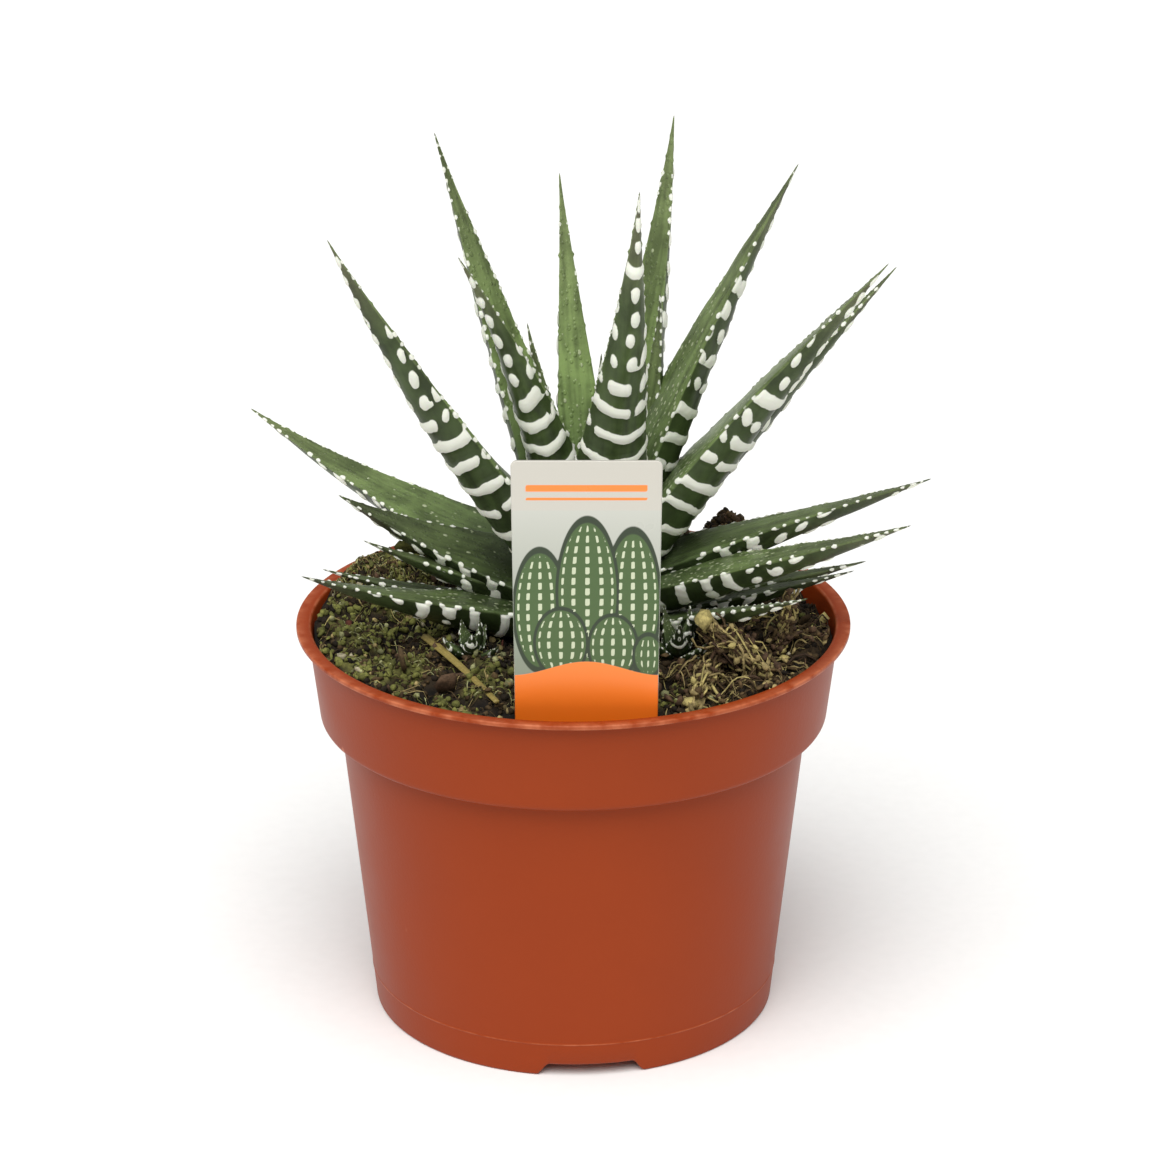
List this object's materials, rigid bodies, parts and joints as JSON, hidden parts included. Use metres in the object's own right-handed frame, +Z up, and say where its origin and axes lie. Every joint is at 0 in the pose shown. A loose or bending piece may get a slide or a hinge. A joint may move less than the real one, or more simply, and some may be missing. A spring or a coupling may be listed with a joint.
{
  "type": "potted zebra haworthia with a plant label",
  "caption": "Small banded succulent rosette growing in potting mix in a round plastic nursery pot, with a blank plant label stuck in at the front.",
  "frame": {"origin": "on the surface the pot rests on, under the pot's axis", "axes": "+Z up, -Y towards the front with the label, +X to the right as seen from the front"},
  "size_m": [0.1478, 0.12, 0.1943],
  "materials": {
    "pot_plastic": "brick-red moulded plastic, lightly scuffed",
    "potting_mix": "damp peat and bark with moss and roots",
    "label_plastic": null,
    "dry_straw": "dry yellow-brown stalk",
    "stem": "pale fibrous stem and roots",
    "leaf": "dark green leaf with raised off-white bands"
  },
  "bodies": {
    "root": {"pot": "pot_plastic", "potting_mix": "potting_mix", "label": "label_plastic", "straw": "dry_straw", "stem_and_roots": "stem", "leaf_01": "leaf", "leaf_02": "leaf", "leaf_03": "leaf", "leaf_04": "leaf", "leaf_05": "leaf", "leaf_06": "leaf", "leaf_07": "leaf", "leaf_08": "leaf", "leaf_09": "leaf", "leaf_10": "leaf", "leaf_11": "leaf", "leaf_12": "leaf", "leaf_13": "leaf", "leaf_14": "leaf", "leaf_15": "leaf", "leaf_16": "leaf", "leaf_17": "leaf", "leaf_18": "leaf", "leaf_19": "leaf", "leaf_20": "leaf", "leaf_21": "leaf", "leaf_22": "leaf", "leaf_23": "leaf", "leaf_24": "leaf", "leaf_25": "leaf", "leaf_26": "leaf", "leaf_27": "leaf", "leaf_28": "leaf", "leaf_29": "leaf", "leaf_30": "leaf", "leaf_31": "leaf", "leaf_32": "leaf", "leaf_33": "leaf", "offset_1": "leaf", "offset_2": "leaf"}
  },
  "joints": []
}
